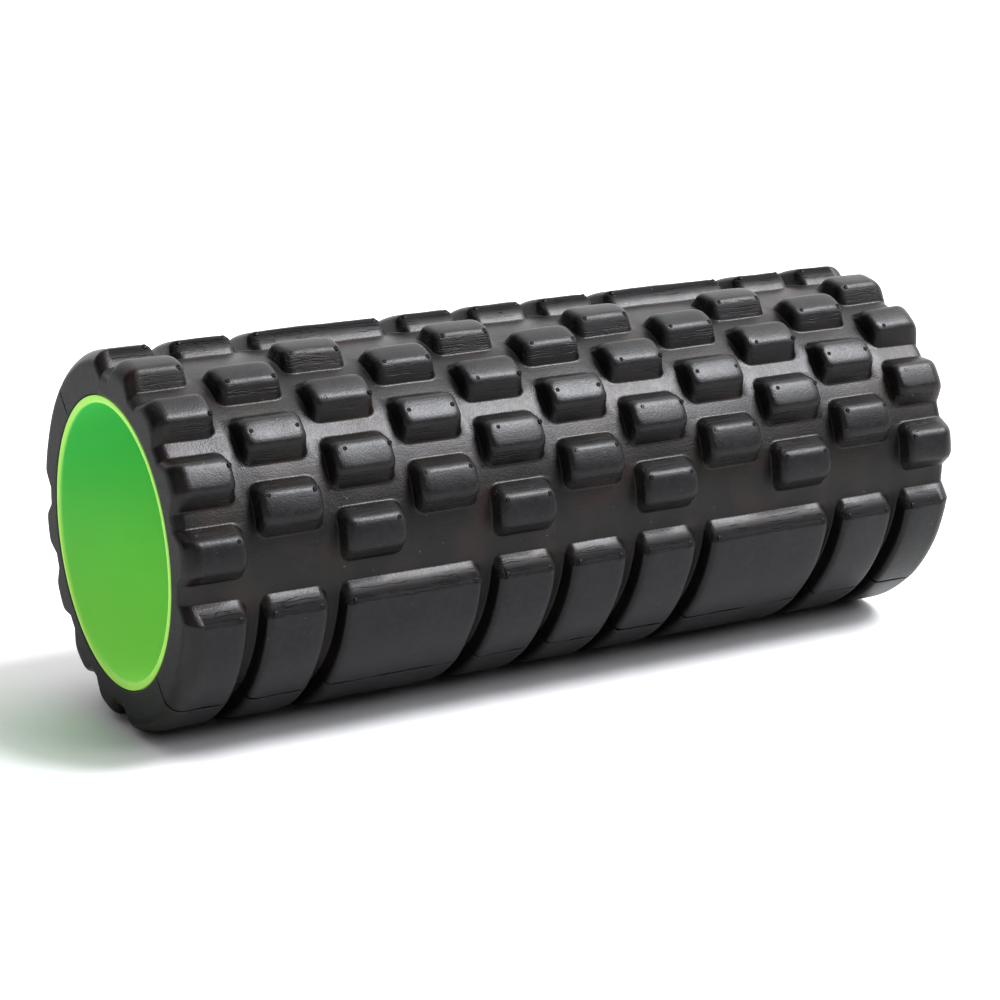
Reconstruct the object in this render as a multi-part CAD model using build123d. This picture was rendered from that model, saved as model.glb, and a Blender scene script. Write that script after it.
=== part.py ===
from build123d import *
import math
import os

# A hollow-core massage roller: a rigid tube with two identical half-round foam mouldings bonded to it.
# The axis of the tube is X, the origin is on the axis at mid-length, and +Z is up.
# Millimetres and degrees throughout.

# Overall
LENGTH = 330.0                # tube and sleeve, flush at both ends
TREAD_DIAMETER = 139.0        # over the tops of the knobs
TREAD_HEIGHT = 6.7            # knob tops above the ground of the sleeve

# Core tube
TUBE_DIAMETER = 107.0
TUBE_WALL = 3.0
INNER_LIP_CHAMFER = 1.0
OUTER_LIP_CHAMFER = 0.4

# Bond between tube and foam
FILM_THICKNESS = 0.25
FILM_INSET = 2.0              # the adhesive stops this far short of each end and of each seam

# Tread pattern of one half-sleeve, whose draw direction is its middle knob row
COLUMNS = 11                  # knob places along the roller
COLUMN_PITCH = 30.8
KNOB_ROWS = 7                 # rows of knobs between the two long-block rows
ROW_PITCH = 11.65
KNOB_BASE_LENGTH = 24.8       # along X, where the knob meets the ground
KNOB_TOP_LENGTH = 23.6
KNOB_BASE_HALF_ANGLE = 8.9    # about the axis, from the row's middle
KNOB_TOP_HALF_ANGLE = 4.3
LONG_BASE_ANGLE = 50.3        # where the long blocks start, from the middle row
LONG_TOP_ANGLE = 54.9
LONG_BLOCK_COLUMNS = [(0, 0), (1, 1), (2, 3), (4, 4), (5, 5), (6, 6), (7, 8), (9, 9), (10, 10)]
END_ROUNDING = 4.2            # outer edge of the sleeve's end faces
SEAM_CLEARANCE = 0.1          # each half stops this far short of the parting plane

# The draw direction of the front half leans from +Z towards -Y, and the rear half is opposite. At this
# angle the roller lies steadily, on the edge of a long-block row and the knob row beside it.
FRONT_DRAW_ANGLE = 47.1
HALVES = {"front": FRONT_DRAW_ANGLE, "rear": FRONT_DRAW_ANGLE + 180.0}

TUBE_RADIUS = TUBE_DIAMETER / 2
TREAD_RADIUS = TREAD_DIAMETER / 2
GROUND_RADIUS = TREAD_RADIUS - TREAD_HEIGHT
SLEEVE_BORE_RADIUS = TUBE_RADIUS + FILM_THICKNESS
KNOB_ROOT_RADIUS = GROUND_RADIUS - 1.5     # knobs are sunk this deep so that they fuse cleanly
KNOB_CREST_RADIUS = TREAD_RADIUS + 1.0     # and trimmed to the tread's cylinder from above
WALL_OVERRUN = 0.3            # a long block's sloped wall is carried on by this share at both edges
CUT_MARGIN = 5.0              # tools that trim a solid stand this far outside it


def column_x(column):
    """Middle of a knob place, measured along X from mid-length."""
    return (column - (COLUMNS - 1) / 2) * COLUMN_PITCH


def along_x(radius, length):
    """A solid cylinder on the roller's axis, centred at mid-length."""
    return Rot(0, 90, 0) * Cylinder(radius, length)


def rounded_along_x(radius, length, rounding):
    """A cylinder on the axis with both of its end edges rounded."""
    body = along_x(radius, length)
    return fillet(body.edges().filter_by(GeomType.CIRCLE), rounding)


def tangent_at(radius, angle):
    """Half-width of a face that reaches an angle to one side of the radial direction."""
    return radius * math.sin(math.radians(angle))


def height_at(radius, angle):
    """Height, along the radial direction, of a point at an angle to one side of it."""
    return radius * math.cos(math.radians(angle))


def wall_point(height, low, high):
    """Point (half-width, half-length) of a sloped wall, carried on a straight line to a height."""
    share = (height - low[2]) / (high[2] - low[2])
    return [low[i] + share * (high[i] - low[i]) for i in range(2)]


def frustum(low_y, high_y, low_x, high_x, low_height, high_height):
    """A four-sided frustum: each pair is (from, to) on its level, and the heights are along +Z."""
    levels = []
    for height, (y0, y1), (x0, x1) in ((low_height, low_y, low_x), (high_height, high_y, high_x)):
        corners = [(x0, y0, height), (x1, y0, height), (x1, y1, height), (x0, y1, height)]
        levels.append(make_face(Polyline(*corners, close=True)))
    return loft(levels)


def knob():
    """One knob, its middle on +Z, from below the ground to above the tread's cylinder."""
    low_height = height_at(GROUND_RADIUS, KNOB_BASE_HALF_ANGLE)
    high_height = height_at(TREAD_RADIUS, KNOB_TOP_HALF_ANGLE)
    low = (tangent_at(GROUND_RADIUS, KNOB_BASE_HALF_ANGLE), KNOB_BASE_LENGTH / 2, low_height)
    high = (tangent_at(TREAD_RADIUS, KNOB_TOP_HALF_ANGLE), KNOB_TOP_LENGTH / 2, high_height)
    root_y, root_x = wall_point(KNOB_ROOT_RADIUS, low, high)
    crest_y, crest_x = wall_point(KNOB_CREST_RADIUS, low, high)
    return frustum((-root_y, root_y), (-crest_y, crest_y), (-root_x, root_x), (-crest_x, crest_x),
                   KNOB_ROOT_RADIUS, KNOB_CREST_RADIUS)


def long_block_section():
    """Half of a long block across the axis: from its sloped wall down to the parting plane."""
    base = (tangent_at(GROUND_RADIUS, LONG_BASE_ANGLE), height_at(GROUND_RADIUS, LONG_BASE_ANGLE))
    top = (tangent_at(TREAD_RADIUS, LONG_TOP_ANGLE), height_at(TREAD_RADIUS, LONG_TOP_ANGLE))
    step = (top[0] - base[0], top[1] - base[1])
    root = (base[0] - WALL_OVERRUN * step[0], base[1] - WALL_OVERRUN * step[1])
    crest = (top[0] + WALL_OVERRUN * step[0], top[1] + WALL_OVERRUN * step[1])
    outside = TREAD_RADIUS + CUT_MARGIN
    return [root, crest, (outside, crest[1]), (outside, 0.0), (root[0], 0.0)]


def long_block(first_column, last_column):
    """Half a long block over one or more knob places, with drafted end walls."""
    span = column_x(last_column) - column_x(first_column)
    middle = (column_x(last_column) + column_x(first_column)) / 2
    draft = (KNOB_BASE_LENGTH - KNOB_TOP_LENGTH) / 2 / TREAD_HEIGHT
    section = make_face(Polyline(*[(0, y, z) for y, z in long_block_section()], close=True))
    base_half = (span + KNOB_BASE_LENGTH) / 2
    bar = extrude(section, amount=base_half + CUT_MARGIN, dir=(1, 0, 0), both=True)
    # The end walls are cones about the axis, so that they lean the same all the way round
    root_half = base_half + draft * (GROUND_RADIUS - KNOB_ROOT_RADIUS)
    crest_half = root_half - draft * (TREAD_RADIUS - KNOB_ROOT_RADIUS)
    with BuildPart() as envelope:
        with BuildSketch(Plane.XZ):
            with BuildLine():
                Polyline((-root_half, KNOB_ROOT_RADIUS), (root_half, KNOB_ROOT_RADIUS),
                         (crest_half, TREAD_RADIUS), (-crest_half, TREAD_RADIUS), close=True)
            make_face()
        revolve(axis=Axis.X, revolution_arc=360)
    return Pos(middle, 0, 0) * (bar & envelope.part)


def mirrored(shape):
    """The same shape on the other side of the draw direction."""
    return mirror(shape, about=Plane.XZ)


def knob_places():
    """(row angle, column) of every knob: rows with the outermost places filled alternate."""
    middle = (KNOB_ROWS - 1) / 2
    for row in range(KNOB_ROWS):
        for column in range(row % 2, COLUMNS, 2):
            yield (row - middle) * ROW_PITCH, column


def half_ring(outer_radius, bore_radius, length, seam_clearance, rounding=0.0):
    """The +Z half of a ring on the axis."""
    if rounding:
        body = rounded_along_x(outer_radius, length, rounding)
    else:
        body = along_x(outer_radius, length)
    cut_length = length + 2 * CUT_MARGIN
    cut_width = 2 * (outer_radius + CUT_MARGIN)
    body -= along_x(bore_radius, cut_length)
    return body & Pos(0, 0, seam_clearance + cut_width / 2) * Box(cut_length, cut_width, cut_width)


def half_sleeve():
    """One foam moulding with its draw direction along +Z."""
    one_knob = knob()
    blocks = [Rot(angle, 0, 0) * Pos(column_x(column), 0, 0) * one_knob for angle, column in knob_places()]
    for first_column, last_column in LONG_BLOCK_COLUMNS:
        block = long_block(first_column, last_column)
        blocks += [block, mirrored(block)]
    tread = half_ring(GROUND_RADIUS, SLEEVE_BORE_RADIUS, LENGTH, SEAM_CLEARANCE, END_ROUNDING)
    tread = tread.fuse(*blocks)
    return tread & half_ring(TREAD_RADIUS, SLEEVE_BORE_RADIUS, LENGTH, SEAM_CLEARANCE, END_ROUNDING)


def rims_near(shape, radius):
    """Circular edges of a shape whose radius is within half a wall of the given one."""
    circles = shape.edges().filter_by(GeomType.CIRCLE)
    return circles.filter_by(lambda edge: abs(edge.radius - radius) < TUBE_WALL / 2)


def core_tube():
    """The rigid tube with softened lips."""
    bore_radius = TUBE_RADIUS - TUBE_WALL
    wall = along_x(TUBE_RADIUS, LENGTH) - along_x(bore_radius, LENGTH)
    wall = chamfer(rims_near(wall, TUBE_RADIUS), OUTER_LIP_CHAMFER)
    return chamfer(rims_near(wall, bore_radius), INNER_LIP_CHAMFER)


def bond_film():
    """The adhesive under one half-sleeve, stopping short of the ends and seams."""
    return half_ring(SLEEVE_BORE_RADIUS, TUBE_RADIUS, LENGTH - 2 * FILM_INSET, FILM_INSET)


def write(shape, name):
    shape.label = name
    export_step(shape, os.path.join("parts", name + ".step"))


def main():
    os.makedirs("parts", exist_ok=True)
    write(core_tube(), "core_tube")
    sleeve = half_sleeve()
    film = bond_film()
    for side, angle in HALVES.items():
        write(Rot(angle, 0, 0) * sleeve, side + "_sleeve")
        write(Rot(angle, 0, 0) * film, side + "_bond_film")


main()
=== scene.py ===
# %% [markdown]
# # A hollow-core massage roller
# The roller is a rigid green tube with a black foam tread bonded round it. The tread comes in two
# identical half-round mouldings that meet at two lengthwise seams. Each half has seven staggered rows of
# knobs and, next to each seam, a row of long blocks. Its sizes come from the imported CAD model, so that
# model is loaded first.

# %% Load the frame
import math

import bpy
import numpy as np
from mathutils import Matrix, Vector


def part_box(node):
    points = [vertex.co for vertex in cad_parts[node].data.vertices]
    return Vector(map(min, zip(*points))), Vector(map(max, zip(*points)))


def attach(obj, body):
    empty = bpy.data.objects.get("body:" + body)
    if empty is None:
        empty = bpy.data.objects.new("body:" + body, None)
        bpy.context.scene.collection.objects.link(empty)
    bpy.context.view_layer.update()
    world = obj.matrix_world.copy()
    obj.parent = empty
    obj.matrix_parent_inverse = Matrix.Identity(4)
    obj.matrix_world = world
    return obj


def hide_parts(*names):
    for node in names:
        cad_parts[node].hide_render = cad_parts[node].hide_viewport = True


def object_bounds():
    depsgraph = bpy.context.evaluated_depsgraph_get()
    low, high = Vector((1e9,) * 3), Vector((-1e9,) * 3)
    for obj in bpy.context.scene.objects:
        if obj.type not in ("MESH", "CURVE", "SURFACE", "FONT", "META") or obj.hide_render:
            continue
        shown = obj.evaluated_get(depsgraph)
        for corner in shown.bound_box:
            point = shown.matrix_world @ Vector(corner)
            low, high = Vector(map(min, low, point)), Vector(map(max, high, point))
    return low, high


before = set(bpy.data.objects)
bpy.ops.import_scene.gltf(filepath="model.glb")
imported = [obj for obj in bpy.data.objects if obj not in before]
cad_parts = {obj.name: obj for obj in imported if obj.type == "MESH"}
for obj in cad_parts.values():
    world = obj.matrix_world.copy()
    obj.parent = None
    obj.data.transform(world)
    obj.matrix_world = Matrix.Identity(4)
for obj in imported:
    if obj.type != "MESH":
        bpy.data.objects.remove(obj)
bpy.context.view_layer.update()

# %% [markdown]
# ## Sizes
# Whatever can be measured on the CAD nodes is measured: the length, the tube and the tread's outer radius.
# The tread's pattern isn't in the record, so its pitches and angles are named here, in metres and radians.
# Angles about the roller's axis start at the middle of a half-sleeve, where its mould opens, and grow
# towards -Y.

# %% Measure the nodes


def radii(node):
    """Distance of every vertex of a CAD node from the roller's axis, which is X."""
    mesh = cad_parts[node].data
    places = np.zeros(3 * len(mesh.vertices))
    mesh.vertices.foreach_get("co", places)
    return np.hypot(places[1::3], places[2::3])


MM = 0.001
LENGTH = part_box("core_tube")[1].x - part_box("core_tube")[0].x
TUBE_RADIUS = radii("core_tube").max()
TUBE_BORE_RADIUS = radii("core_tube").min()
SLEEVE_BORE_RADIUS = radii("front_sleeve").min()
TREAD_RADIUS = radii("front_sleeve").max()
print("tube", TUBE_BORE_RADIUS, TUBE_RADIUS, "sleeve", SLEEVE_BORE_RADIUS, TREAD_RADIUS)

# %% Name the tread's pattern
TREAD_HEIGHT = 6.7 * MM
GROUND_RADIUS = TREAD_RADIUS - TREAD_HEIGHT
MIDDLE_RADIUS = TREAD_RADIUS - TREAD_HEIGHT / 2      # lengths round the tread are measured here
COLUMNS = 11
COLUMN_PITCH = 30.8 * MM
KNOB_ROWS = 7
ROW_PITCH = math.radians(11.65)
KNOB_LENGTH = 24.8 * MM
END_WALL_SETBACK = 0.6 * MM
KNOB_HALF_ANGLE = math.radians(8.9)
SIDE_WALL_SETBACK = math.radians(4.6) * MIDDLE_RADIUS
LONG_BLOCK_ANGLE = math.radians(50.3)
LONG_BLOCK_COLUMNS = [(0, 0), (1, 1), (2, 3), (4, 4), (5, 5), (6, 6), (7, 8), (9, 9), (10, 10)]
SEAM_ANGLE = math.pi / 2
FRONT_DRAW_ANGLE = math.radians(47.1)
HALVES = {"front": FRONT_DRAW_ANGLE, "rear": FRONT_DRAW_ANGLE + math.pi}
COLUMN_X = (np.arange(COLUMNS) - (COLUMNS - 1) / 2) * COLUMN_PITCH
ROW_ANGLE = (np.arange(KNOB_ROWS) - (KNOB_ROWS - 1) / 2) * ROW_PITCH

# %% [markdown]
# ## From arrays to meshes
# Every new piece is a grid of points worked out with numpy. One helper joins neighbouring points with
# four-sided faces and wraps round where the surface is closed. The next makes the object, with flat faces
# where a piece has them, and the last two store values for a material and carry an outline round the axis.

# %% Grid to mesh


def grid_faces(rows, columns, wrap_rows, wrap_columns):
    """Faces (i, j), (i, j+1), (i+1, j+1), (i+1, j) of a grid whose points are numbered row by row."""
    i = np.arange(rows if wrap_rows else rows - 1)[:, None]
    j = np.arange(columns if wrap_columns else columns - 1)[None, :]
    next_i = (i + 1) % rows
    next_j = (j + 1) % columns
    corners = [i * columns + j, i * columns + next_j, next_i * columns + next_j, next_i * columns + j]
    return np.stack(np.broadcast_arrays(*corners), axis=-1).reshape(-1, 4)


def make_piece(name, points, faces, material, flat_faces=(), more_faces=np.empty((0, 3), int)):
    """A mesh object at the origin, from points, lists of their numbers and a material. Flat faces are the
    only ones that aren't shaded smooth."""
    mesh = bpy.data.meshes.new(name)
    smooth_faces = faces.tolist() + more_faces.tolist()
    mesh.from_pydata(points.reshape(-1, 3).tolist(), [], smooth_faces + [list(f) for f in flat_faces])
    smooth = np.ones(len(mesh.polygons), bool)
    smooth[len(smooth_faces):] = False
    mesh.polygons.foreach_set("use_smooth", smooth)
    mesh.update()
    mesh.materials.append(material)
    piece = bpy.data.objects.new(name, mesh)
    bpy.context.scene.collection.objects.link(piece)
    mesh.calc_loop_triangles()
    print(name, "points", len(mesh.vertices), "triangles", len(mesh.loop_triangles))
    return piece


def paint(piece, label, values):
    """Stores one value at each point of a piece, for its material."""
    piece.data.attributes.new(label, "FLOAT", "POINT").data.foreach_set("value", values.ravel())


def about_axis(x, radius, angle):
    """Points at a distance from the X axis, at an angle from +Z towards -Y."""
    x, radius, angle = np.broadcast_arrays(x, radius, angle)
    return np.stack([x, -radius * np.sin(angle), radius * np.cos(angle)], axis=-1)


# %% [markdown]
# ## Shader arithmetic
# Materials are written as Python expressions. A Wire stands for an output socket; adding or multiplying
# wires puts a Math node in the material. A Finish is one material, and its node method adds any other kind
# of node.

# %% Wires and finishes


class Wire:
    """An output socket that takes part in arithmetic."""

    def __init__(self, finish, socket):
        self.finish = finish
        self.socket = socket

    def math(self, operation, *terms):
        sockets = dict(enumerate((self,) + terms))
        return self.finish.node("ShaderNodeMath", {"operation": operation}, sockets, "Value")

    def __add__(self, other):
        return self.math("ADD", other)

    def __mul__(self, other):
        return self.math("MULTIPLY", other)

    def __sub__(self, other):
        return self.math("SUBTRACT", other)

    def __rsub__(self, other):
        return (self * -1.0) + other

    __radd__ = __add__
    __rmul__ = __mul__

    def limited(self, low, high):
        """Ramp: 0 where the value is low, 1 where it is high, smooth in between."""
        settings = {"interpolation_type": "SMOOTHSTEP"}
        sockets = {"Value": self, "From Min": low, "From Max": high}
        return self.finish.node("ShaderNodeMapRange", settings, sockets, "Result")


class Finish:
    """A material under construction."""

    def __init__(self, name):
        self.material = bpy.data.materials.new(name)
        self.material.use_nodes = True
        self.tree = self.material.node_tree
        self.tree.nodes.clear()

    def node(self, kind, settings=None, sockets=None, output=0):
        """Adds a node: its settings first, then the values or links of its sockets. Returns one output."""
        made = self.tree.nodes.new(kind)
        for name, value in (settings or {}).items():
            setattr(made, name, value)
        for name, value in (sockets or {}).items():
            target = self.find(made.inputs, name)
            if isinstance(value, Wire):
                self.tree.links.new(value.socket, target)
            else:
                target.default_value = value
        return Wire(self, self.find(made.outputs, output)) if made.outputs else None

    @staticmethod
    def find(sockets, name):
        """A socket by its number, identifier or label."""
        if isinstance(name, int):
            return sockets[name]
        return next(s for s in sockets if name in (s.identifier, s.name))

    def place(self):
        """Position on the piece, in metres."""
        return self.node("ShaderNodeTexCoord", output="Object")

    def coordinate(self, place, axis):
        """One of the three numbers of a place."""
        return self.node("ShaderNodeSeparateXYZ", {}, {"Vector": place}, axis)

    def stretched(self, place, scale):
        """The same place with each axis multiplied."""
        return self.node("ShaderNodeMapping", {"vector_type": "POINT"}, {"Vector": place, "Scale": scale})

    def noise(self, place, size, detail=2.0, roughness=0.5):
        """Cloudy values about 0.5, with lumps of roughly that size in metres."""
        sockets = {"Vector": place, "Scale": 1 / size, "Detail": detail, "Roughness": roughness}
        return self.node("ShaderNodeTexNoise", {}, sockets, "Fac")

    def shifted(self, place, size, distance):
        """The same place pushed about by a cloudy noise, up to that distance each way."""
        cloud = self.node("ShaderNodeTexNoise", {}, {"Vector": place, "Scale": 1 / size}, "Color")
        sockets = {0: cloud, 1: (2 * distance,) * 3, 2: place}
        return self.node("ShaderNodeVectorMath", {"operation": "MULTIPLY_ADD"}, sockets, "Vector")

    def attribute(self, name):
        """A value stored on the mesh's points."""
        return self.node("ShaderNodeAttribute", {"attribute_name": name}, output="Fac")

    def colour(self, factor, low, high):
        """Colour between two others."""
        sockets = {"Factor_Float": factor, "A_Color": low, "B_Color": high}
        return self.node("ShaderNodeMix", {"data_type": "RGBA"}, sockets, "Result_Color")

    def bump(self, height, depth, below=None):
        """A surface direction that follows a height between 0 and 1, that many metres deep."""
        sockets = {"Height": height, "Distance": depth, "Strength": 1.0}
        if below is not None:
            sockets["Normal"] = below
        return self.node("ShaderNodeBump", {}, sockets, "Normal")

    def finish(self, sockets):
        """Ends the material with a Principled shader."""
        shader = self.node("ShaderNodeBsdfPrincipled", {}, sockets, "BSDF")
        self.node("ShaderNodeOutputMaterial", {}, {"Surface": shader})
        return self.material


# %% [markdown]
# ## Foam skin
# Closed-cell foam pressed in a hot mould has a thin satin skin. It is almost black, a little warm in the
# hollows where release agent collects, and its gloss changes from place to place. A few pale specks stick
# to it. The end faces were trimmed after moulding, so they are paler, grainier and duller. Where the skin
# was stretched over the edges of the blocks it wrinkles in fine lengthwise creases, and where foam was
# pressed into the mould's vents it has small pits, whose middles get painted shade: a near-black colour.
# The mesh says where a point is raised, wrinkled or in a pit's painted shade, in attributes; a piece
# without one of them has 0 there. Noise of several sizes does the rest.

# %% The foam's colours and sizes
HOLLOW_BLACK = (0.011, 0.010, 0.010, 1)
HOLLOW_BROWN = (0.023, 0.015, 0.012, 1)
TOP_BLACK = (0.008, 0.008, 0.009, 1)
TOP_GREY = (0.016, 0.016, 0.017, 1)
CUT_BLACK = (0.014, 0.014, 0.014, 1)
CUT_GREY = (0.030, 0.030, 0.029, 1)
SPECK_GREY = (0.16, 0.16, 0.15, 1)
# Painted shade: near black for the middles of the vent pits.
PIT_PAINTED_SHADE = (0.002, 0.002, 0.002, 1)
CLOUD_SIZE = 20 * MM
PATCH_SIZE = 11 * MM
MOTTLE_SIZE = 3 * MM
SPECK_SIZE = 1.5 * MM
GRAIN_SIZE = 0.7 * MM
WANDER_SIZE = 4.5 * MM
WANDER = 0.8 * MM
FOLD_SIZE = 1.9 * MM
FOLD_STRETCH = (0.045, 1, 1)
FOLD_DEPTH = 0.45 * MM
LINE_SIZE = 0.6 * MM
LINE_STRETCH = (0.05, 1, 1)
LINE_DEPTH = 0.16 * MM
SKIN_DEPTH = 0.15 * MM
SKIN_ROUGHNESS = 0.31

# %% Foam material


def foam_skin():
    """A crease is where a wandering, stretched noise is near its middle value: its depth is one less the
    distance from that value, limited, times how wrinkled the point is."""
    foam = Finish("black_foam_skin")
    place = foam.place()
    raised = foam.attribute("raised")
    wrinkled = foam.attribute("wrinkled")
    pit_shade = foam.attribute("pit_shade")
    from_middle = foam.coordinate(place, "X").math("ABSOLUTE")
    trimmed = from_middle.limited(LENGTH / 2 - 0.9 * MM, LENGTH / 2 - 0.1 * MM)
    cloud = foam.noise(place, CLOUD_SIZE, 3.0)
    mottle = foam.noise(place, MOTTLE_SIZE, 3.0, 0.6)
    grain = foam.noise(place, GRAIN_SIZE, 2.0, 0.6)
    hollow = foam.colour(cloud.limited(0.42, 0.68), HOLLOW_BLACK, HOLLOW_BROWN)
    top = foam.colour(mottle.limited(0.3, 0.8), TOP_BLACK, TOP_GREY)
    moulded = foam.colour(raised, hollow, top)
    cut = foam.colour(grain.limited(0.35, 0.7), CUT_BLACK, CUT_GREY)
    clean = foam.colour(trimmed, moulded, cut)
    speck = foam.noise(foam.stretched(place, (1, 1.4, 1.4)), SPECK_SIZE, 0.0).limited(0.86, 0.89)
    dusty = foam.colour(speck * 0.5, clean, SPECK_GREY)
    # Painted shade: the pits' middles are darkened by colour.
    colour = foam.colour(pit_shade, dusty, PIT_PAINTED_SHADE)

    patch = foam.noise(place, PATCH_SIZE, 2.0).limited(0.40, 0.62)
    wandering = foam.shifted(place, WANDER_SIZE, WANDER)
    fold = (foam.noise(foam.stretched(wandering, FOLD_STRETCH), FOLD_SIZE, 1.0) - 0.5).math("ABSOLUTE")
    crease = (1 - fold.limited(0.0, 0.07)) * wrinkled * (patch * 0.8 + 0.2)
    lines = foam.noise(foam.stretched(place, LINE_STRETCH), LINE_SIZE, 2.0, 0.6)
    skin = foam.bump(grain * 0.55 + mottle * 0.45, SKIN_DEPTH)
    lined = foam.bump(lines * wrinkled, LINE_DEPTH, skin)
    creased = foam.bump(1 - crease, FOLD_DEPTH, lined)
    gloss_loss = mottle * 0.10 + cloud * 0.06 + trimmed * 0.22 + pit_shade * 0.4 + wrinkled * 0.45
    sockets = {"Base Color": colour, "Roughness": SKIN_ROUGHNESS + gloss_loss, "Normal": creased}
    return foam.finish(sockets)


FOAM = foam_skin()

# %% [markdown]
# ## Green plastic
# The tube is extruded plastic, coloured through. Its bore is satin with faint lengthwise die lines. Sawing
# and deburring leave a slightly rougher ring at each end, and that ring gets a painted highlight: a paler
# green and a glow where the lips catch the light. The bore gets painted light: a darker, bluer green above
# and a lighter, yellower green below, so its colour is mixed by height. Light that enters the thin wall
# spreads in it and comes out again. A little emission of the same colour stands in for that, because the
# real path through the wall is slow to trace.

# %% The tube's colours
# Painted light: the upper greens are darker and bluer, the lower greens lighter and yellower; the rim's
# green and glow are a painted highlight on the lips.
SHADED_UPPER_GREENS = [(0.068, 0.355, 0.096, 1), (0.078, 0.380, 0.108, 1)]
LIT_LOWER_GREENS = [(0.235, 0.500, 0.118, 1), (0.265, 0.535, 0.132, 1)]
RIM_HIGHLIGHT_GREEN = (0.32, 0.64, 0.12, 1)
RIM_HIGHLIGHT_GLOW = (0.20, 0.30, 0.06, 1)
GLOW_STRENGTH = 0.38
PLASTIC_SPECULAR = 0.4
PLASTIC_ROUGHNESS = 0.38
GREEN_CLOUD_SIZE = 30 * MM
DIE_LINE_SIZE = 0.8 * MM
DIE_LINE_STRETCH = (0.02, 1, 1)
PLASTIC_GRAIN_SIZE = 0.35 * MM
PLASTIC_DEPTH = 0.05 * MM

# %% Green material


def green_plastic():
    """The colour is mixed by height over the axis, as painted light, and by nearness to the sawn ends, where
    the lips get a painted highlight.
    """
    green = Finish("green_tube_plastic")
    place = green.place()
    from_middle = green.coordinate(place, "X").math("ABSOLUTE")
    sawn_rim_highlight = from_middle.limited(LENGTH / 2 - 1.0 * MM, LENGTH / 2 - 0.2 * MM)
    cloud = green.noise(place, GREEN_CLOUD_SIZE, 2.0)
    die_lines = green.noise(green.stretched(place, DIE_LINE_STRETCH), DIE_LINE_SIZE, 2.0)
    grain = green.noise(place, PLASTIC_GRAIN_SIZE, 2.0)
    # Painted light: lighter and yellower below, darker and bluer above.
    painted_light_by_height = green.coordinate(place, "Z").limited(-0.95 * TUBE_RADIUS, 0.65 * TUBE_RADIUS)
    upper = green.colour(cloud, *SHADED_UPPER_GREENS)
    lower = green.colour(cloud, *LIT_LOWER_GREENS)
    wall = green.colour(painted_light_by_height, lower, upper)
    # Painted highlight: the sawn lips are painted paler and glow.
    colour = green.colour(sawn_rim_highlight, wall, RIM_HIGHLIGHT_GREEN)
    glow = green.colour(sawn_rim_highlight, wall, RIM_HIGHLIGHT_GLOW)
    surface = green.bump(die_lines * 0.7 + grain * 0.3, PLASTIC_DEPTH)
    sockets = {"Base Color": colour, "Roughness": PLASTIC_ROUGHNESS + sawn_rim_highlight * 0.15, "Normal": surface}
    sockets.update({"Emission Color": glow, "Emission Strength": GLOW_STRENGTH})
    sockets.update({"Specular IOR Level": PLASTIC_SPECULAR})
    return green.finish(sockets)


GREEN = green_plastic()

# %% [markdown]
# ## Dried adhesive
# The two halves are glued on with contact adhesive. The CAD nodes for it have the right shape and stay, so
# they only get a finish: a yellowish film with brush marks that run round the tube.

# %% Adhesive material
FILM_BROWN = (0.16, 0.13, 0.06, 1)
FILM_YELLOW = (0.30, 0.25, 0.12, 1)
BRUSH_SIZE = 1.5 * MM
BRUSH_STRETCH = (1, 0.15, 0.15)
BRUSH_DEPTH = 0.1 * MM


def dried_adhesive():
    """One stretched noise mixes the colour and sets the roughness and the relief."""
    glue = Finish("dried_adhesive")
    brush = glue.noise(glue.stretched(glue.place(), BRUSH_STRETCH), BRUSH_SIZE, 3.0, 0.6)
    colour = glue.colour(brush, FILM_BROWN, FILM_YELLOW)
    relief = glue.bump(brush, BRUSH_DEPTH)
    return glue.finish({"Base Color": colour, "Roughness": 0.45 + brush * 0.2, "Normal": relief})


ADHESIVE = dried_adhesive()
for side in HALVES:
    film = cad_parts[side + "_bond_film"]
    film.data.materials.clear()
    film.data.materials.append(ADHESIVE)
    print(film.name, "finished as", ADHESIVE.name)

# %% [markdown]
# ## The green tube
# A lathe shape: one outline of (x, radius) points carried round the axis. The outline goes round one lip,
# along the bore, round the other lip and back along the outside, so the surface is closed both ways.

# %% Tube outline and mesh
TUBE_SEGMENTS = 256
OUTER_LIP = 0.4 * MM
INNER_LIP = 1.4 * MM
LIP_STEPS = 6
BORE_STEPS = 12


def quarter(steps):
    """Angles from 0 to a right angle, ends included."""
    return np.linspace(0, math.pi / 2, steps)


def tube_outline():
    """The wall's section as two lists, x and radius. The right half is the outer lip's arc, the inner lip's
    arc and the bore; the left half is its mirror image."""
    turn = quarter(LIP_STEPS)
    end = LENGTH / 2
    outer_x = end - OUTER_LIP * (1 - np.sin(turn))
    outer_r = TUBE_RADIUS - OUTER_LIP * (1 - np.cos(turn))
    inner_x = end - INNER_LIP * (1 - np.cos(turn))
    inner_r = TUBE_BORE_RADIUS + INNER_LIP * (1 - np.sin(turn))
    bore_x = np.linspace(end - 2 * INNER_LIP, 0, BORE_STEPS, endpoint=False)
    x = np.concatenate([outer_x, inner_x, bore_x])
    radius = np.concatenate([outer_r, inner_r, np.full(bore_x.size, TUBE_BORE_RADIUS)])
    return np.concatenate([x, -x[::-1]]), np.concatenate([radius, radius[::-1]])


tube_x, tube_r = tube_outline()
round_angles = np.arange(TUBE_SEGMENTS) * 2 * math.pi / TUBE_SEGMENTS
tube_points = about_axis(tube_x[:, None], tube_r[:, None], round_angles[None, :])
tube_faces = grid_faces(tube_x.size, TUBE_SEGMENTS, True, True)
tube = make_piece("green_tube", tube_points, tube_faces, GREEN)
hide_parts("core_tube")
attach(tube, "root")

# %% [markdown]
# ## The tread as a height field
# A half-sleeve is a ring wall whose outer radius changes. Every knob has the same walls: nearly upright at
# its ends and sloping at its sides, with a small fillet at the foot and a rounding at the brow. A wall is
# described by how far inside the base edge it has risen to a given height. Grid lines are laid at those
# distances from every edge, so the mesh follows each fillet exactly and spends its faces where the shape
# turns.

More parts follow.
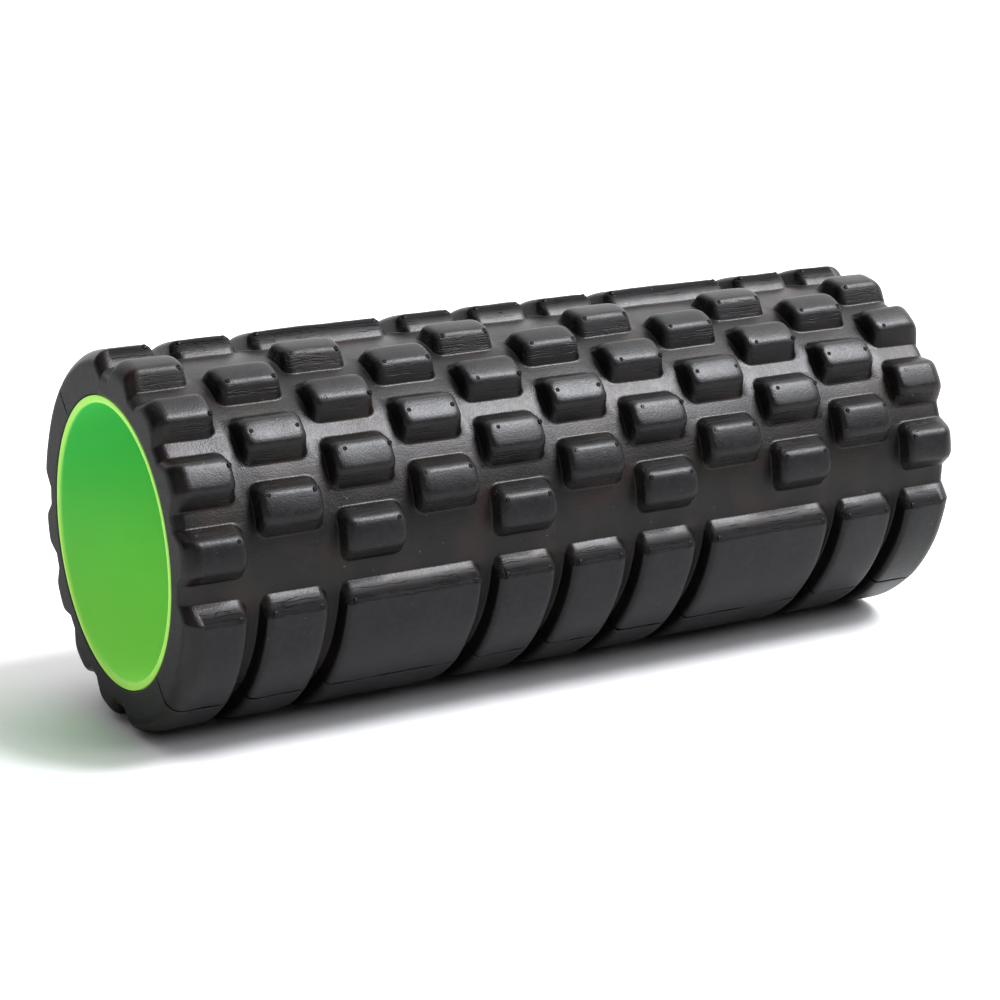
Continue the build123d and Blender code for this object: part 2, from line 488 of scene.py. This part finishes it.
# %% Wall section
HEIGHT_SHARES = np.array([0, 0.03, 0.08, 0.14, 0.28, 0.60, 0.70, 0.78, 0.85, 0.91, 0.955, 0.985, 0.997])
DOME_SHARES = np.array([0.3, 0.6, 1.0])
DOME_RISE = 0.14 * MM         # the top goes on rising to its middle
WALL_HEIGHT = TREAD_HEIGHT - DOME_RISE
FOOT_FILLET = 0.7 * MM
END_BROW = 2.4 * MM
KNOB_BROW = 4.0 * MM
LONG_BROW = 1.2 * MM
FOOT_CORNER = 3.8 * MM
BROW_CORNER = 3.4 * MM
CORNER_FADE = 2.9 * MM
REACH = 1.0                   # far outside the roller, so the tables never end


def inset(height, setback, brow):
    """Distance inside the base edge at which the wall has a height.
    The wall is the line from (0, 0) to (setback, wall height). An arc of the foot's radius is tangent to
    the ground and the line, and one of the brow's radius is tangent to the line and the top."""
    slope = math.atan2(WALL_HEIGHT, setback)
    foot_turn = np.arccos(np.clip(1 - height / FOOT_FILLET, -1, 1))
    brow_turn = np.arccos(np.clip(1 - (WALL_HEIGHT - height) / brow, -1, 1))
    foot = FOOT_FILLET * (np.sin(foot_turn) - math.tan(slope / 2))
    top = setback + brow * (math.tan(slope / 2) - np.sin(brow_turn))
    line = height * setback / WALL_HEIGHT
    return np.where(foot_turn < slope, foot, np.where(brow_turn < slope, top, line))


heights = WALL_HEIGHT * HEIGHT_SHARES
end_insets = inset(heights, END_WALL_SETBACK, END_BROW)
knob_insets = inset(heights, SIDE_WALL_SETBACK, KNOB_BROW)
long_insets = inset(heights, SIDE_WALL_SETBACK, LONG_BROW)
print("end wall insets, mm:", np.round(end_insets / MM, 2))
print("knob wall insets, mm:", np.round(knob_insets / MM, 2))
print("long wall insets, mm:", np.round(long_insets / MM, 2))

# %% [markdown]
# Seen from outside, a knob is a nest of contours, one for each height. The tables below go on past the foot
# and up the slight dome of the top, so that every point near a knob has a contour, and give each contour's
# corner radius.

# %% Contour tables


def contours(insets):
    """Distances inside the base edge: far outside, the corner fade, the wall, the dome and far inside."""
    dome = insets[-1] + CORNER_FADE * DOME_SHARES
    return np.concatenate([[-REACH, insets[0] - CORNER_FADE], insets, dome, [REACH]])


dome_heights = heights[-1] + (TREAD_HEIGHT - heights[-1]) * (1 - (1 - DOME_SHARES) ** 2)
contour_height = np.concatenate([[0, 0], heights, dome_heights, [TREAD_HEIGHT]])
contour = np.arange(contour_height.size) * 1.0
contour_end = contours(end_insets)
contour_knob = contours(knob_insets)
contour_long = contours(long_insets)
corner_radii = FOOT_CORNER + (BROW_CORNER - FOOT_CORNER) * HEIGHT_SHARES
contour_corner = np.concatenate([[0, 0], corner_radii, BROW_CORNER * (1 - DOME_SHARES), [0]])
print("contours", contour.size, "heights, mm:", np.round(contour_height / MM, 2))

# %% [markdown]
# Each family of blocks repeats along the roller and around it, so a point's distance inside the nearest
# block is worked out once for each grid line, not for each point.

# %% Distance inside the blocks of a family


def inside_along(x, first, last):
    """How far each x lies inside the end edges of the nearest block, and which way its middle is. Blocks
    run from column first to column last; the outermost ones run on to the roller's ends."""
    low = COLUMN_X[first] - KNOB_LENGTH / 2
    high = COLUMN_X[last] + KNOB_LENGTH / 2
    low = np.where(np.array(first) == 0, low - REACH, low)
    high = np.where(np.array(last) == COLUMNS - 1, high + REACH, high)
    from_low = x[:, None] - low
    from_high = high - x[:, None]
    nearest = np.minimum(from_low, from_high).argmax(axis=1)
    pick = np.arange(x.size)
    from_low = from_low[pick, nearest]
    from_high = from_high[pick, nearest]
    return np.minimum(from_low, from_high), np.where(from_low < from_high, 1.0, -1.0)


def inside_around(angle, rows):
    """The same around the roller, for the knob rows given."""
    away = angle[:, None] - ROW_ANGLE[rows]
    nearest = np.abs(away).argmin(axis=1)
    away = away[np.arange(angle.size), nearest]
    return (KNOB_HALF_ANGLE - np.abs(away)) * MIDDLE_RADIUS, -np.sign(away)


def inside_long_rows(angle):
    """The same for the long blocks, which run on to the seams."""
    return (np.abs(angle) - LONG_BLOCK_ANGLE) * MIDDLE_RADIUS, np.sign(angle)


def relief(along, around, contour_side):
    """Height of every grid point over the ground, and its shift along and around that rounds the corners.
    A point's contour is the lower of the two that it would have from each direction alone. On a contour
    with corner radius c, a point p and q short of the corner's straight parts moves onto the arc: both are
    scaled by max(p, q) / hypot(p, q)."""
    (end_in, end_way), (side_in, side_way) = along, around
    level = np.minimum(np.interp(end_in, contour_end, contour)[:, None],
                       np.interp(side_in, contour_side, contour)[None, :])
    corner = np.interp(level, contour, contour_corner)
    p = corner - (end_in[:, None] - np.interp(level, contour, contour_end))
    q = corner - (side_in[None, :] - np.interp(level, contour, contour_side))
    at_corner = (p > 0) & (q > 0)
    scale = np.where(at_corner, np.maximum(p, q) / np.hypot(p, q).clip(1e-9), 1.0)
    shift_x = p * (1 - scale) * end_way[:, None]
    shift_angle = q * (1 - scale) * side_way[None, :] / MIDDLE_RADIUS
    return np.interp(level, contour, contour_height), shift_x, shift_angle


# %% [markdown]
# ## Grid lines
# Lines across the roller stand at every contour of every column, and lines along it at every contour of
# every row. Wide stretches get more lines in between, and a few crowd up to each seam, where the edge is
# rounded.

# %% Lay out the lines
WIDEST_STEP = 3.4 * MM
CLOSEST_STEP = 0.09 * MM
END_ROUNDING = 4.2 * MM
BLOCK_END_ROUNDING = 6.0 * MM
ROUNDING_MARGIN = 0.3 * MM
END_DOME_STEPS = np.array([0.4, 1.0, 1.8]) * MM
KNOB_DOME_STEP = 1.0 * MM
LONG_DOME_STEPS = np.array([0.5, 1.2]) * MM
SEAM_STEPS = np.array([0, 0.1, 0.25, 0.45, 0.7, 1.0, 1.4]) * MM
BOTH_WAYS = np.array([-1, 1])[None, :, None]


def filled(lines):
    """Sorted lines without near doubles, and with even steps put into wide gaps."""
    lines = np.sort(lines)
    lines = lines[np.concatenate([[True], np.diff(lines) > CLOSEST_STEP])]
    steps = np.maximum(np.ceil(np.diff(lines) / WIDEST_STEP), 1).astype(int)
    parts = [np.linspace(a, b, n, endpoint=False) for a, b, n in zip(lines[:-1], lines[1:], steps)]
    return np.concatenate(parts + [lines[-1:]])


def lines_across():
    """Places along X, from one end rounding to the other: every inset from both edges of every column."""
    from_column = KNOB_LENGTH / 2 - np.append(end_insets, end_insets[-1] + END_DOME_STEPS)
    edges = (COLUMN_X[:, None, None] + BOTH_WAYS * from_column).ravel()
    limit = LENGTH / 2 - BLOCK_END_ROUNDING - ROUNDING_MARGIN
    return filled(np.concatenate([edges[np.abs(edges) < limit], [-limit, limit]]))


def lines_along():
    """Angles from seam to seam. Steps are measured as lengths at the middle radius."""
    row_place = ROW_ANGLE[:, None, None] * MIDDLE_RADIUS
    from_row = KNOB_HALF_ANGLE * MIDDLE_RADIUS - np.append(knob_insets, knob_insets[-1] + KNOB_DOME_STEP)
    rows = (row_place + BOTH_WAYS * from_row).ravel()
    long_steps = np.append(long_insets, long_insets[-1] + LONG_DOME_STEPS)
    long_row = LONG_BLOCK_ANGLE * MIDDLE_RADIUS + long_steps
    seam = SEAM_ANGLE * MIDDLE_RADIUS - SEAM_STEPS
    return filled(np.concatenate([rows, long_row, -long_row, seam, -seam])) / MIDDLE_RADIUS


line_x = lines_across()
line_angle = lines_along()
print("lines across", line_x.size, "lines along", line_angle.size)

# %% [markdown]
# Foam is never quite even: the surface swells and dips by about a tenth of a millimetre. The unevenness
# is a sum of a few long waves with random directions from a fixed seed, so it is the same every time.

# %% Unevenness
WAVES = 14
WAVE_LENGTHS = (14 * MM, 45 * MM)
SWELL = 0.09 * MM


def swell(x, angle, seed):
    """Sum of sine waves over the unrolled surface, scaled to the swell's height."""
    pick = np.random.default_rng(seed)
    turn = pick.uniform(0, 2 * math.pi, WAVES)
    wave = 2 * math.pi / pick.uniform(*WAVE_LENGTHS, WAVES)
    phase = pick.uniform(0, 2 * math.pi, WAVES)
    total = np.zeros(np.broadcast(x, angle).shape)
    for k in range(WAVES):
        way = x * math.cos(turn[k]) + angle * MIDDLE_RADIUS * math.sin(turn[k])
        total += np.sin(wave[k] * way + phase[k])
    return SWELL * total / math.sqrt(WAVES / 2)


# %% [markdown]
# ## The outer surface
# Three families of blocks stand on the ground: the knobs of the even rows, those of the odd rows, and the
# long blocks. Each family says how high it makes a point and how far its corners shift the point. The
# highest wins, and the shifts add up, because a point is near a corner of one family only.

# %% Outer surface
EVEN = np.arange(0, COLUMNS, 2)
ODD = np.arange(1, COLUMNS, 2)
EVEN_ROWS = np.arange(0, KNOB_ROWS, 2)
ODD_ROWS = np.arange(1, KNOB_ROWS, 2)
LONG_FIRST = [first for first, last in LONG_BLOCK_COLUMNS]
LONG_LAST = [last for first, last in LONG_BLOCK_COLUMNS]


def tread_surface(seed):
    """x, radius, angle and height of the outer surface's grid points."""
    families = [
        (inside_along(line_x, EVEN, EVEN), inside_around(line_angle, EVEN_ROWS), contour_knob),
        (inside_along(line_x, ODD, ODD), inside_around(line_angle, ODD_ROWS), contour_knob),
        (inside_along(line_x, LONG_FIRST, LONG_LAST), inside_long_rows(line_angle), contour_long),
    ]
    reliefs = [relief(*family) for family in families]
    height = np.max([r[0] for r in reliefs], axis=0)
    x = line_x[:, None] + sum(r[1] for r in reliefs)
    angle = line_angle[None, :] + sum(r[2] for r in reliefs)
    radius = GROUND_RADIUS + height + swell(x, angle, seed)
    return x, radius, angle, height


# %% [markdown]
# ## Seams and ends
# At the parting plane each half's outer edge is slightly rounded, and its face leans back from the plane,
# so the seam shows as a fine groove whose width wanders. At the ends the outer surface turns into a flat
# face by a quarter round, larger on the blocks than on the ground, and a small one leads into the bore.

# %% Seam and end shapes
SEAM_CLEARANCE = np.array([0.05, 0.30, 0.40]) * MM
SEAM_CLEARANCE_RADII = [SLEEVE_BORE_RADIUS, SLEEVE_BORE_RADIUS + 2 * MM, TREAD_RADIUS]
SEAM_ROUNDING = 0.8 * MM
SEAM_WAVE = 0.22
SEAM_WAVE_LENGTHS = (9 * MM, 17 * MM, 41 * MM)
BORE_EDGE_ROUNDING = 0.6 * MM
ROUND_STEPS = 8
FACE_STEPS = 7
BORE_EDGE_STEPS = 4


def seam_drop(x, angle, seed):
    """How far the edge at the parting plane is rounded down. It is a quarter circle: radius less the root of
    radius squared less reach squared, and the radius wanders along X."""
    pick = np.random.default_rng(seed)
    wave = sum(np.sin(2 * math.pi * x / w + pick.uniform(0, 6)) for w in SEAM_WAVE_LENGTHS)
    size = SEAM_ROUNDING * (1 + SEAM_WAVE * wave)
    short = np.clip(size - (SEAM_ANGLE - np.abs(angle)) * MIDDLE_RADIUS, 0, size)
    return size - np.sqrt(size ** 2 - short ** 2)


def end_section(radius, height, angle):
    """Right-hand end: a quarter-round from the outer surface, a flat face, and a small quarter-round into
    the bore. A quarter-round is x = end - size (1 - sin turn) and radius = start - size (1 - cos turn)."""
    turn = quarter(ROUND_STEPS)[:, None]
    size = END_ROUNDING + (BLOCK_END_ROUNDING - END_ROUNDING) * height / TREAD_HEIGHT
    round_x = LENGTH / 2 - size * (1 - np.sin(turn))
    round_r = radius - size * (1 - np.cos(turn))
    share = np.linspace(0, 1, FACE_STEPS)[1:, None]
    face_r = round_r[-1] + (SLEEVE_BORE_RADIUS + BORE_EDGE_ROUNDING - round_r[-1]) * share
    edge_turn = quarter(BORE_EDGE_STEPS)[1:, None]
    edge_x = LENGTH / 2 - BORE_EDGE_ROUNDING * (1 - np.cos(edge_turn)) * np.ones(angle.size)
    edge_r = SLEEVE_BORE_RADIUS + BORE_EDGE_ROUNDING * (1 - np.sin(edge_turn)) * np.ones(angle.size)
    x = np.concatenate([round_x, np.full(face_r.shape, LENGTH / 2), edge_x])
    return x, np.concatenate([round_r, face_r, edge_r]), np.broadcast_to(angle, x.shape)


# %% [markdown]
# ## Where the skin wrinkles
# The moulded skin is stretched over the sloping walls, so its creases belong there. Most are on the upper
# part of the long blocks' walls. The knobs' walls have fewer, and the outer rows more than the inner ones.

# %% Wrinkles
LONG_BROW_ANGLE = math.radians(56.0)
LONG_WALL_BELL = (0.8, 0.32)
KNOB_WALL_BELL = (0.5, 0.3)
KNOB_WRINKLE_DEGREES = [8, 25, 45]
KNOB_WRINKLE_SHARES = [0.2, 0.45, 0.7]


def bell(value, centre, spread):
    """1 at the centre and less on both sides: e to the power -((value - centre) / spread) squared."""
    return np.exp(-((value - centre) / spread) ** 2)


def wrinkle_share(angle, height):
    """How wrinkled the skin is, from 0 to 1: a bell over a wall's height, times a share for its row."""
    share = height / TREAD_HEIGHT
    turn = np.abs(angle)
    long_walls = bell(share, *LONG_WALL_BELL) * (turn > LONG_BLOCK_ANGLE) * (turn < LONG_BROW_ANGLE)
    outward = np.interp(np.degrees(turn), KNOB_WRINKLE_DEGREES, KNOB_WRINKLE_SHARES)
    knob_walls = bell(share, *KNOB_WALL_BELL) * outward * (turn <= LONG_BLOCK_ANGLE)
    return long_walls + knob_walls


# %% [markdown]
# ## The two half-sleeves
# The outer surface is joined to the right end, the bore and the left end. Together they make a closed loop
# of lines that is carried from seam to seam, and two flat faces close the shell at the parting plane.

# %% Build the half-sleeves
BORE_LINES = 9
FIRST_SEED = 3


def turned(points, angle):
    """The points turned about X: y becomes y cos - z sin, and z becomes y sin + z cos."""
    x, y, z = np.moveaxis(points, -1, 0)
    c = math.cos(angle)
    s = math.sin(angle)
    return np.stack([x, c * y - s * z, s * y + c * z], axis=-1)


def half_sleeve(name, draw_angle, seed):
    """One foam half: the closed loop of lines, kept off the parting plane and turned to its draw angle."""
    x, radius, angle, height = tread_surface(seed)
    radius = radius - seam_drop(x, angle, seed)
    right = end_section(radius[-1], height[-1], angle[-1])
    left = end_section(radius[0], height[0], angle[0])
    bore_x = np.linspace(LENGTH / 2, -LENGTH / 2, BORE_LINES)[1:-1, None] * np.ones(line_angle.size)
    bore_r = np.full(bore_x.shape, SLEEVE_BORE_RADIUS)
    bore_a = np.broadcast_to(line_angle, bore_x.shape)
    all_x = np.concatenate([x, right[0], bore_x, -left[0][::-1]])
    all_r = np.concatenate([radius, right[1], bore_r, left[1][::-1]])
    all_a = np.concatenate([angle, right[2], bore_a, left[2][::-1]])
    local = about_axis(all_x, all_r, all_a)
    clearance = np.interp(all_r, SEAM_CLEARANCE_RADII, SEAM_CLEARANCE)
    local[..., 2] = np.maximum(local[..., 2], clearance)
    rows, columns = all_x.shape
    first_points = np.arange(rows) * columns
    caps = [first_points[::-1].tolist(), (first_points + columns - 1).tolist()]
    faces = grid_faces(rows, columns, True, False)
    piece = make_piece(name, turned(local, draw_angle), faces, FOAM, caps)
    raised = np.zeros(all_x.shape)
    raised[:line_x.size] = height / TREAD_HEIGHT
    wrinkled = np.zeros(all_x.shape)
    wrinkled[:line_x.size] = wrinkle_share(angle, height)
    paint(piece, "raised", raised)
    paint(piece, "wrinkled", wrinkled)
    return piece


for seed, (side, draw_angle) in enumerate(HALVES.items(), start=FIRST_SEED):
    sleeve = half_sleeve(side + "_foam_sleeve", draw_angle, seed)
    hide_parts(side + "_sleeve")
    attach(sleeve, "root")

# %% [markdown]
# ## Vent nibs
# Air leaves the mould through small holes above the block tops, and foam that was pressed into them leaves
# pairs of little craters. Their middles are painted near black, as painted shade. A nib is four rings with
# a point in the middle and a flat face underneath, sunk in the skin. Broadcasting copies it to every place
# at once.

# %% Place and build the nibs
NIB_SEGMENTS = 9
NIB_RADII = np.array([0.95, 0.80, 0.58, 0.40]) * MM
NIB_HEIGHTS = np.array([-0.3, 0.08, 0.20, 0.05]) * MM
# Painted shade: how dark each nib ring is painted, darkest in the middle.
NIB_PIT_SHADE = np.array([0, 0.1, 0.6, 1.0])
NIB_SPACING = 8.8 * MM
NIB_TURN = math.radians(3.5)
ROW_NIB_SHIFT = np.array([0.6, 0.8, 1.8, 0.3, 1.9, 0.4, 0.0]) * MM
ROW_NIB_TURN = np.radians([1.0, 0, 0, 0, 1.2, 0, 0])
LONG_NIB_INSET = 5.2 * MM


def nib_places():
    """x, angle, distance inside the block's side edge and the way that distance grows, for every nib of a
    half. There are two to a block, nearer the middle row, and each row is drilled slightly off."""
    middle = (KNOB_ROWS - 1) // 2
    for row in range(KNOB_ROWS):
        turn = ROW_NIB_TURN[row] - NIB_TURN * np.sign(row - middle)
        inside = (KNOB_HALF_ANGLE - abs(turn)) * MIDDLE_RADIUS
        for column in range(row % 2, COLUMNS, 2):
            x = COLUMN_X[column] + ROW_NIB_SHIFT[row]
            for side in (-NIB_SPACING, NIB_SPACING):
                yield x + side, ROW_ANGLE[row] + turn, inside, -np.sign(turn)
    for first, last in LONG_BLOCK_COLUMNS:
        for way in (-1, 1):
            angle = way * (LONG_BLOCK_ANGLE + LONG_NIB_INSET / MIDDLE_RADIUS)
            yield COLUMN_X[first] - NIB_SPACING, angle, LONG_NIB_INSET, way
            yield COLUMN_X[last] + NIB_SPACING, angle, LONG_NIB_INSET, way


def vent_nibs(name, draw_angle):
    """All the nibs of a half-sleeve as one mesh, from rings of (radius, height over the skin). Each point
    looks up the height of the skin under it in the contour table. Nibs on the end rounding are left out."""
    x, angle, inside, way = (np.array(values)[:, None] for values in zip(*nib_places()))
    kept = np.abs(x[:, 0]) < LENGTH / 2 - BLOCK_END_ROUNDING
    x, angle, inside, way = (values[kept] for values in (x, angle, inside, way))
    turn = np.arange(NIB_SEGMENTS) * 2 * math.pi / NIB_SEGMENTS
    across = np.append((NIB_RADII[:, None] * np.cos(turn)).ravel(), 0)
    around = np.append((NIB_RADII[:, None] * np.sin(turn)).ravel(), 0)
    lift = np.append(np.repeat(NIB_HEIGHTS, NIB_SEGMENTS), NIB_HEIGHTS[-1])
    under = inside - way * around
    on_knob = np.abs(angle) < LONG_BLOCK_ANGLE
    skin = GROUND_RADIUS + np.where(on_knob, np.interp(under, contour_knob, contour_height),
                                    np.interp(under, contour_long, contour_height))
    points = about_axis(x + across, skin + lift, draw_angle + angle - around / MIDDLE_RADIUS)
    rings = grid_faces(NIB_RADII.size, NIB_SEGMENTS, False, True)
    last = (NIB_RADII.size - 1) * NIB_SEGMENTS
    ring = np.arange(NIB_SEGMENTS)
    tip = np.full(NIB_SEGMENTS, last + NIB_SEGMENTS)
    cone = np.stack([last + ring, last + (ring + 1) % NIB_SEGMENTS, tip], axis=-1)
    size = across.size
    copies = np.arange(x.size)[:, None, None] * size
    bases = (ring[::-1] + copies[:, 0]).tolist()
    four_sided = (rings + copies).reshape(-1, 4)
    three_sided = (cone + copies).reshape(-1, 3)
    piece = make_piece(name, points, four_sided, FOAM, bases, three_sided)
    # Painted shade for the pits' middles, read by the foam material.
    pit_shade_values = np.append(np.repeat(NIB_PIT_SHADE, NIB_SEGMENTS), NIB_PIT_SHADE[-1])
    paint(piece, "raised", np.ones(x.size * size))
    paint(piece, "pit_shade", np.tile(pit_shade_values, x.size))
    return piece


for side, draw_angle in HALVES.items():
    nibs = vent_nibs(side + "_vent_nibs", draw_angle)
    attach(nibs, "root")

# %% [markdown]
# ## Floor, light and camera
# The roller lies on a plain pale floor. Black foam shows its shape by what it reflects, so three very wide,
# far lamps light it: a strong one high on the right, a weaker one lower in front, and a faint one on the
# left. The surroundings glow on the right and behind, which draws the long reflections on the upper side,
# while a ray straight from the camera sees them plain and pale. The High Contrast look deepens the gaps
# between the blocks.

# %% Floor
FLOOR_HALF = 8.0
PAPER_GREYS = [(0.86, 0.86, 0.86, 1), (0.89, 0.89, 0.89, 1)]
floor_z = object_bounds()[0].z
floor_grid = np.linspace(-FLOOR_HALF, FLOOR_HALF, 3)
floor_x, floor_y = np.meshgrid(floor_grid, floor_grid, indexing="ij")
floor_points = np.stack([floor_x, floor_y, np.full(floor_x.shape, floor_z)], axis=-1)


def pale_floor():
    """Matt paper with a faint fibre."""
    paper = Finish("pale_floor")
    fibre = paper.noise(paper.place(), 2 * MM, 2.0)
    colour = paper.colour(fibre, *PAPER_GREYS)
    return paper.finish({"Base Color": colour, "Roughness": 0.9, "Specular IOR Level": 0.1})


floor = make_piece("floor", floor_points, grid_faces(3, 3, False, False), pale_floor())

# %% Lamps
LAMP_COLOUR = (0.96, 0.965, 1.0)


def far_light(name, direction, width, strength):
    """A sun that shines from a direction and looks that many degrees wide, so its shadows are soft."""
    light = bpy.data.lights.new(name, "SUN")
    light.color = LAMP_COLOUR
    light.angle = math.radians(width)
    light.energy = strength
    lamp = bpy.data.objects.new(name, light)
    lamp.rotation_euler = Vector(direction).to_track_quat("Z", "Y").to_euler()
    bpy.context.scene.collection.objects.link(lamp)
    print(name, "strength", strength, "width", width)


far_light("key_light", (0.48, -0.34, 0.81), 20, 2.5)
far_light("front_light", (0.50, -0.64, 0.58), 30, 0.9)
far_light("left_fill", (-0.75, -0.55, 0.36), 60, 0.32)

# %% Surroundings
BACKDROP_SIDE = (0.52, 0.74, 0.42)
BASE_GLOW = 0.015
RIGHT_GLOW = 0.30
BACKDROP_GLOW = 1.3
SEEN_BRIGHTNESS = 0.95


class Sky(Finish):
    """The world's node tree, built like a material."""

    def __init__(self, world):
        world.use_nodes = True
        self.tree = world.node_tree
        self.tree.nodes.clear()


world = bpy.data.worlds.new("studio")
sky = Sky(world)
direction = sky.node("ShaderNodeTexCoord", output="Generated")
rightward = sky.coordinate(direction, "X").limited(-0.1, 0.8)
toward_backdrop = sky.node("ShaderNodeVectorMath", {"operation": "DOT_PRODUCT"},
                           {0: direction, 1: BACKDROP_SIDE}, "Value").limited(0.1, 0.8)
seen = sky.node("ShaderNodeLightPath", output="Is Camera Ray")
glow = BASE_GLOW + rightward * RIGHT_GLOW + toward_backdrop * BACKDROP_GLOW
strength = glow * (1 - seen) + seen * SEEN_BRIGHTNESS
shell = sky.node("ShaderNodeBackground", {}, {"Color": (1, 1, 1, 1), "Strength": strength})
sky.node("ShaderNodeOutputWorld", {}, {"Surface": shell})
bpy.context.scene.world = world
bpy.context.scene.view_settings.view_transform = "Standard"
bpy.context.scene.view_settings.look = "High Contrast"

# %% Camera
LENS_MM = 95.94
SENSOR_MM = 36
CAMERA_PLACE = (-0.5021, -0.8675, 0.2552)
CAMERA_TURN = (75.347, 0.550, -30.001)
camera_data = bpy.data.cameras.new("camera")
camera_data.lens = LENS_MM
camera_data.sensor_width = SENSOR_MM
camera = bpy.data.objects.new("camera", camera_data)
camera.location = CAMERA_PLACE
camera.rotation_euler = [math.radians(a) for a in CAMERA_TURN]
bpy.context.scene.collection.objects.link(camera)
bpy.context.scene.camera = camera
print("camera stands", round(camera.location.length, 3), "m from the middle of the roller")
